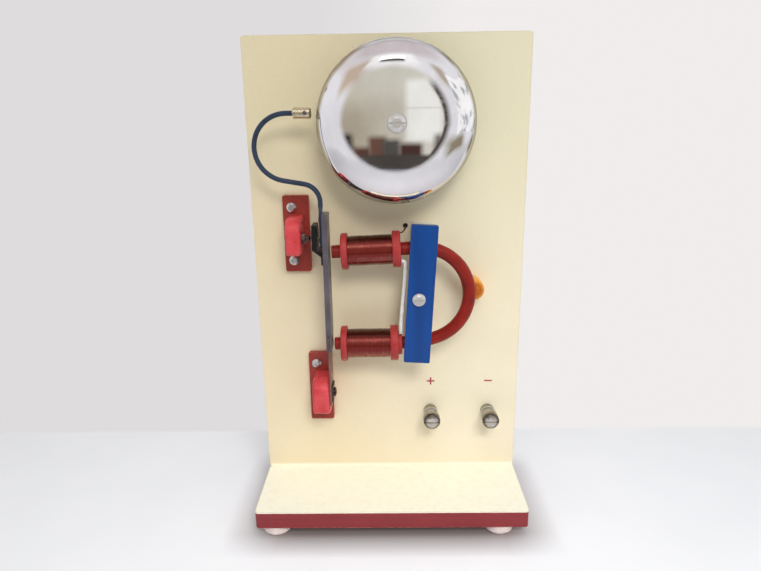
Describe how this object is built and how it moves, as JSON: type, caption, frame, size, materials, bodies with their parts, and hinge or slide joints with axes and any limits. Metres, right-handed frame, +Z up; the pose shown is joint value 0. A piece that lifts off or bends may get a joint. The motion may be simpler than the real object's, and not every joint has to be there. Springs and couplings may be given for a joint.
{
  "type": "electric bell demonstrator",
  "caption": "Classroom electric bell on an upright board: gong, hammer on a sprung armature, horseshoe electromagnet, make-and-break contact and screw terminals on a footed base.",
  "frame": {"origin": "on the table under the middle of the base, at the bottom of the rubber feet", "axes": "+X to the right as the gong is faced, +Y to the back through the board, +Z up"},
  "size_m": [0.15, 0.075, 0.266],
  "materials": {
    "white_laminate": "satin",
    "maroon_board": "painted, satin",
    "back_laminate": "matte",
    "gong_chrome": "polished",
    "nickel": "polished",
    "zinc_steel": "satin",
    "blued_steel": "satin",
    "dark_steel": "satin",
    "red_core": "satin",
    "red_plastic": "gloss",
    "bobbin_plastic": "gloss",
    "enamelled_copper": "gloss",
    "blue_paint": "satin",
    "white_plastic": "satin",
    "brass": "satin",
    "phosphor_bronze": "satin",
    "contact_strip_metal": "satin",
    "silver": "satin",
    "grey_rubber": "matte",
    "amber_rubber": "satin",
    "black_rubber": "matte",
    "white_insulation": "satin",
    "red_insulation": "satin",
    "fibre": "matte"
  },
  "bodies": {
    "stand": {"base_board": "maroon_board", "base_laminate": "white_laminate", "upright_screws": "zinc_steel", "feet": "grey_rubber", "foot_screws": "zinc_steel", "front_laminate": "white_laminate", "back_board": "maroon_board", "rear_laminate": "back_laminate", "gong": "gong_chrome", "gong_post": "zinc_steel", "gong_seat_washer": "fibre", "gong_washer": "nickel", "gong_screw": "nickel", "post_washer": "zinc_steel", "post_screw": "zinc_steel", "u_core": "red_core", "upper_bobbin": "bobbin_plastic", "upper_winding": "enamelled_copper", "lower_bobbin": "bobbin_plastic", "lower_winding": "enamelled_copper", "clamp_bar": "blue_paint", "core_block": "white_plastic", "clamp_screw": "nickel", "core_pad": "amber_rubber", "contact_bracket": "red_plastic", "spring_bracket": "red_plastic", "bracket_screws": "zinc_steel", "contact_insert": "brass", "spring_insert": "brass", "contact_stud": "dark_steel", "contact_lock_nut": "dark_steel", "spring_strip": "phosphor_bronze", "spring_clamp_plate": "zinc_steel", "spring_clamp_screw": "zinc_steel", "terminal_studs": "nickel", "terminal_collars": "nickel", "rear_washers": "zinc_steel", "solder_tags": "zinc_steel", "rear_nuts": "zinc_steel", "lead_sleeves": "black_rubber", "coil_leads": "enamelled_copper", "link_wire": "white_insulation", "contact_wire": "red_insulation", "coil_wire": "red_insulation", "spring_wire": "red_insulation"},
    "armature_assembly": {"armature": "dark_steel", "contact_strip": "contact_strip_metal", "moving_contact": "silver", "spring_rivets": "dark_steel", "strip_rivet": "dark_steel", "rod_rivets": "dark_steel", "hammer_rod": "blued_steel", "hammer_head": "nickel", "hammer_grub_screw": "dark_steel"},
    "left_washer_body": {"left_clamp_washer": "nickel"},
    "left_nut_body": {"left_thumb_nut": "nickel"},
    "right_washer_body": {"right_clamp_washer": "nickel"},
    "right_nut_body": {"right_thumb_nut": "nickel"}
  },
  "joints": [
    {"name": "armature_swing", "type": "hinge", "parent": "stand", "child": "armature_assembly", "pos_m": [-0.0334, -0.0065, 0.08995], "axis": [0, 1, 0], "range_deg": [0, 0.9], "stiffness_Nm_per_rad": 2, "springref_deg": -0.57, "deforming": ["spring_strip"]},
    {"name": "left_terminal_lift", "type": "slide", "parent": "stand", "child": "left_washer_body", "axis": [0, -1, 0], "range_m": [0, 0.0035]},
    {"name": "left_terminal_turn", "type": "hinge", "parent": "left_washer_body", "child": "left_nut_body", "pos_m": [0.024, -0.0025, 0.0545], "axis": [0, -1, 0], "range_deg": [0, 1800]},
    {"name": "right_terminal_lift", "type": "slide", "parent": "stand", "child": "right_washer_body", "axis": [0, -1, 0], "range_m": [0, 0.0035]},
    {"name": "right_terminal_turn", "type": "hinge", "parent": "right_washer_body", "child": "right_nut_body", "pos_m": [0.058, -0.0025, 0.0545], "axis": [0, -1, 0], "range_deg": [0, 1800]}
  ],
  "couplings": [
    {"joint": "left_terminal_turn", "follows": "left_terminal_lift", "rad_per_m": 8975.9},
    {"joint": "right_terminal_turn", "follows": "right_terminal_lift", "rad_per_m": 8975.9}
  ]
}
